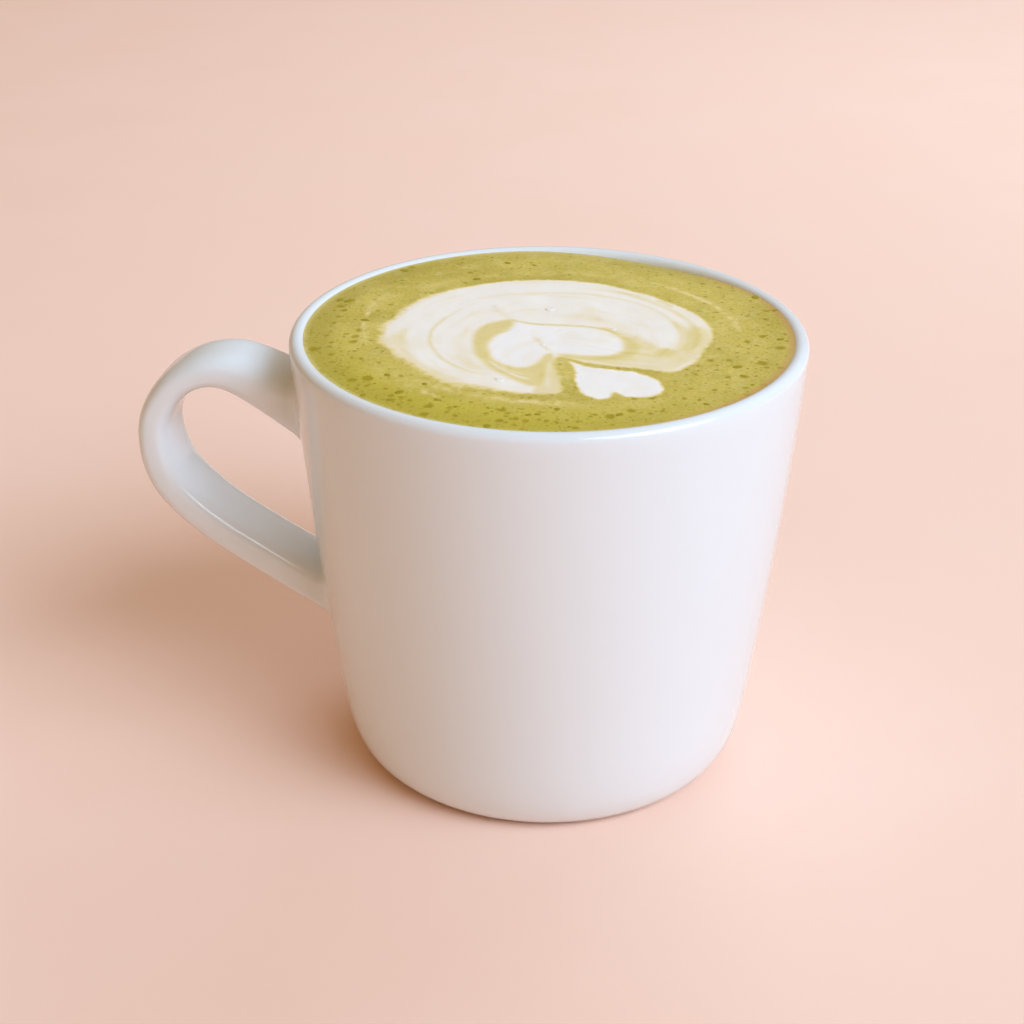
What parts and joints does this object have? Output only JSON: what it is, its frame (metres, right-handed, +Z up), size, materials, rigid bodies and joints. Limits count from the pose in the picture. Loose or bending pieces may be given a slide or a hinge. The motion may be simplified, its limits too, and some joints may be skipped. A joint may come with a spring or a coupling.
{
  "type": "matcha latte",
  "caption": "Hot green tea latte with poured milk foam art, filled to the brim of a plain white glazed mug with a loop handle.",
  "frame": {"origin": "middle of the bounding box of mug and handle, at the level the mug stands on", "axes": "+Z up out of the mug, -X from the mug's axis towards the handle, +X away from the handle, -Y towards the side seen from the front"},
  "size_m": [0.1194, 0.0898, 0.081],
  "materials": {
    "white_glaze": "glossy glazed ceramic",
    "matcha_foam": "satin liquid foam",
    "milk_foam": "satin milk foam"
  },
  "bodies": {
    "root": {"mug": "white_glaze", "matcha_drink": "matcha_foam", "milk_ring": "milk_foam", "milk_heart_middle": "milk_foam", "milk_heart_small": "milk_foam"}
  },
  "joints": []
}
